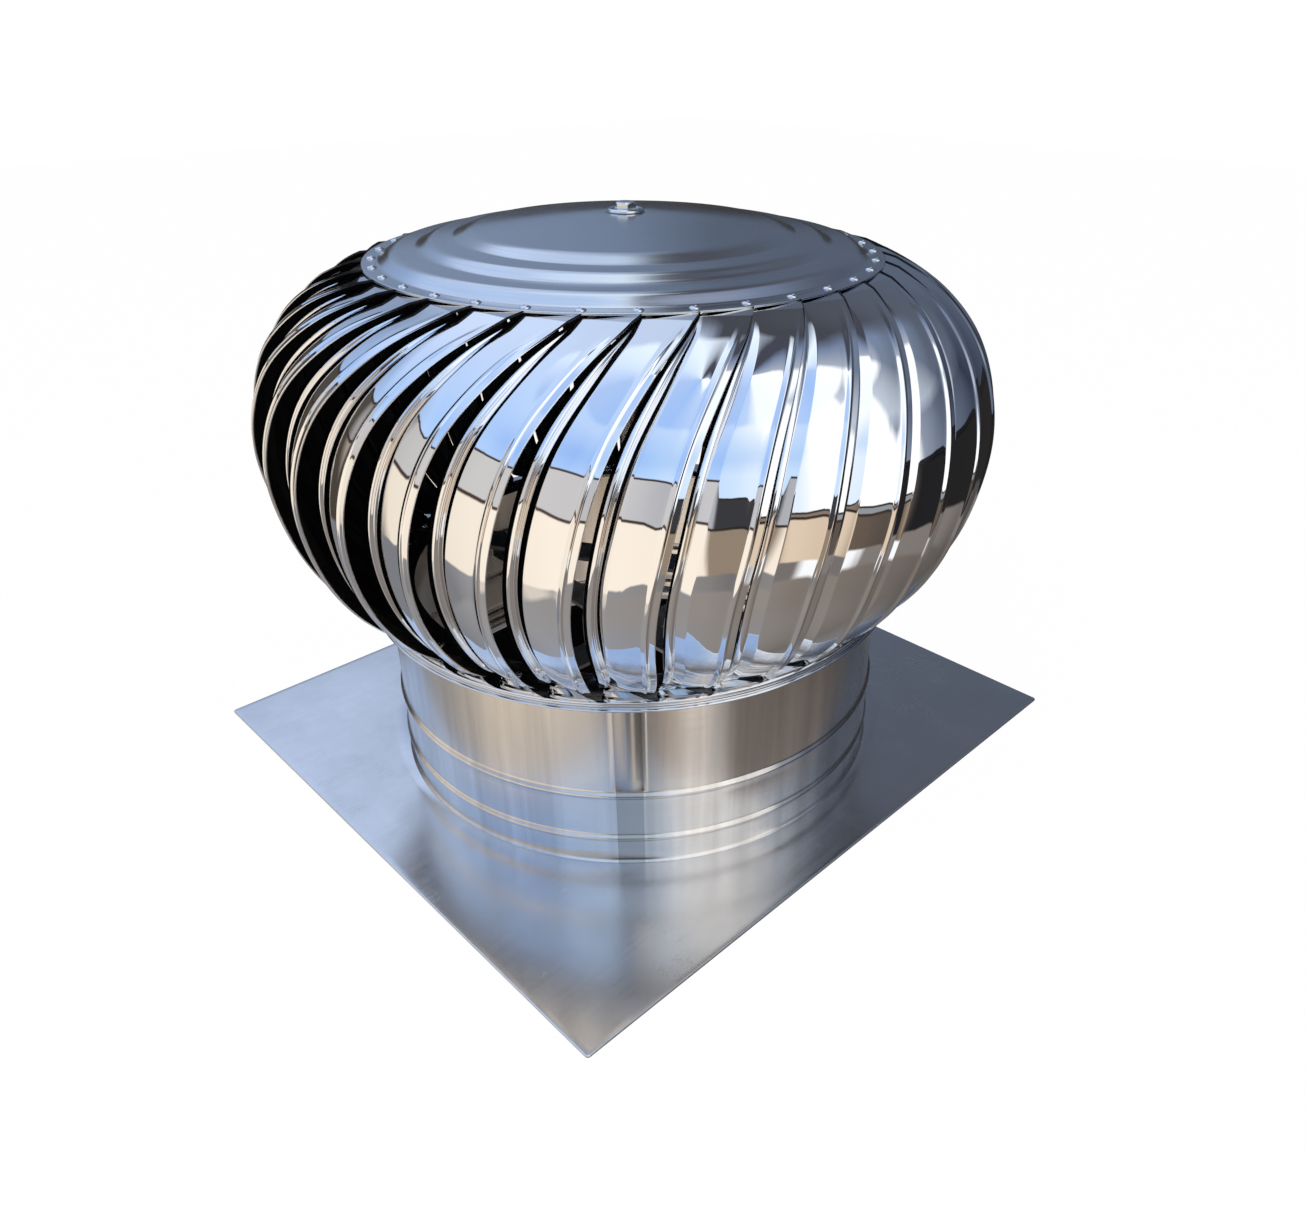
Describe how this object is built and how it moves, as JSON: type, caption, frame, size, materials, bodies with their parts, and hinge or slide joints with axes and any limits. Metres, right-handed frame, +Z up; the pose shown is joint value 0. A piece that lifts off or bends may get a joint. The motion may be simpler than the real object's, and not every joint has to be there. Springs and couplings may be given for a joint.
{
  "type": "roof turbine ventilator",
  "caption": "Wind-driven roof ventilator: a bulbous bladed head turns on a round neck over a flat roof flashing.",
  "frame": {"origin": "on the turbine axis, at the underside of the roof flashing", "axes": "+Z up along the turbine axis; +X and +Y along the flashing's sides"},
  "size_m": [0.681, 0.6784, 0.5412],
  "materials": {
    "polished_sheet": "mirror polished stainless sheet",
    "satin_sheet": "satin stainless sheet",
    "bright_steel": "bright steel",
    "plain_steel": "plain steel",
    "cage_brass": "pressed brass"
  },
  "bodies": {
    "base": {"base_flashing": "satin_sheet", "neck": "satin_sheet", "support_bar_lower": "plain_steel", "support_bar_upper": "plain_steel", "shaft": "plain_steel", "shaft_nuts": "bright_steel", "shaft_washers": "bright_steel", "shaft_circlips": "bright_steel", "lower_inner_race": "bright_steel", "upper_inner_race": "bright_steel"},
    "rotor": {"bottom_ring": "polished_sheet", "blade_01": "polished_sheet", "blade_02": "polished_sheet", "blade_03": "polished_sheet", "blade_04": "polished_sheet", "blade_05": "polished_sheet", "blade_06": "polished_sheet", "blade_07": "polished_sheet", "blade_08": "polished_sheet", "blade_09": "polished_sheet", "blade_10": "polished_sheet", "blade_11": "polished_sheet", "blade_12": "polished_sheet", "blade_13": "polished_sheet", "blade_14": "polished_sheet", "blade_15": "polished_sheet", "blade_16": "polished_sheet", "blade_17": "polished_sheet", "blade_18": "polished_sheet", "blade_19": "polished_sheet", "blade_20": "polished_sheet", "blade_21": "polished_sheet", "blade_22": "polished_sheet", "blade_23": "polished_sheet", "blade_24": "polished_sheet", "blade_25": "polished_sheet", "blade_26": "polished_sheet", "blade_27": "polished_sheet", "blade_28": "polished_sheet", "blade_29": "polished_sheet", "blade_30": "polished_sheet", "blade_31": "polished_sheet", "blade_32": "polished_sheet", "blade_33": "polished_sheet", "blade_34": "polished_sheet", "cap": "satin_sheet", "cap_rivets": "bright_steel", "ring_rivets": "bright_steel", "cap_washer": "bright_steel", "cap_bolt": "bright_steel", "upper_housing": "plain_steel", "upper_outer_race": "bright_steel", "rotor_crossbar": "plain_steel", "crossbar_bolts": "bright_steel", "lower_outer_race": "bright_steel", "housing_circlips": "bright_steel"},
    "upper_ball_cage": {"upper_cage": "cage_brass", "upper_balls": "bright_steel"},
    "lower_ball_cage": {"lower_cage": "cage_brass", "lower_balls": "bright_steel"}
  },
  "joints": [
    {"name": "rotor_spin", "type": "hinge", "parent": "base", "child": "rotor", "pos_m": [0, 0, 0.35], "axis": [0, 0, 1], "continuous": true},
    {"name": "upper_cage_spin", "type": "hinge", "parent": "base", "child": "upper_ball_cage", "pos_m": [0, 0, 0.493], "axis": [0, 0, 1], "continuous": true},
    {"name": "lower_cage_spin", "type": "hinge", "parent": "base", "child": "lower_ball_cage", "pos_m": [0, 0, 0.203], "axis": [0, 0, 1], "continuous": true}
  ],
  "couplings": [
    {"joint": "upper_cage_spin", "follows": "rotor_spin", "ratio": 0.6185},
    {"joint": "lower_cage_spin", "follows": "rotor_spin", "ratio": 0.6185}
  ]
}
